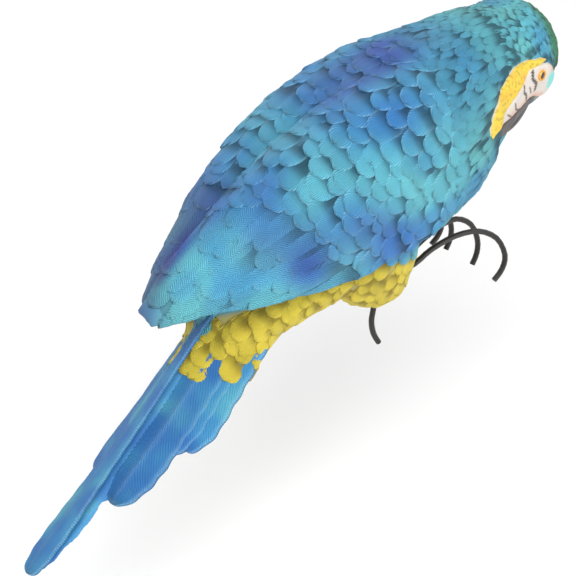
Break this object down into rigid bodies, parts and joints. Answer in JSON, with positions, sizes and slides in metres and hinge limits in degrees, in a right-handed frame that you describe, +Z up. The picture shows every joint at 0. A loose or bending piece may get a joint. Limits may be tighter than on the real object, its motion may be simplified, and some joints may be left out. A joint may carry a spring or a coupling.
{
  "type": "perching parrot figurine",
  "caption": "Painted cast parrot with folded wings, bowed head and long tail, that hooks over a branch or pot rim on bent wire toes.",
  "frame": {"origin": "middle of the branch that the toes grip, on the bird's middle plane", "axes": "+X the way the bird's body faces, tail towards -X, +Y its left side and along the branch, +Z up"},
  "size_m": [0.3336, 0.1022, 0.2234],
  "materials": {
    "painted_resin": "hand-painted matte, mostly sky blue with yellow underparts and a white face",
    "dark_steel": "dark satin steel wire"
  },
  "bodies": {
    "root": {"macaw_casting": "painted_resin", "right_front_outer_toe": "dark_steel", "right_front_inner_toe": "dark_steel", "right_rear_toe": "dark_steel", "left_front_outer_toe": "dark_steel", "left_front_inner_toe": "dark_steel", "left_rear_toe": "dark_steel"}
  },
  "joints": []
}
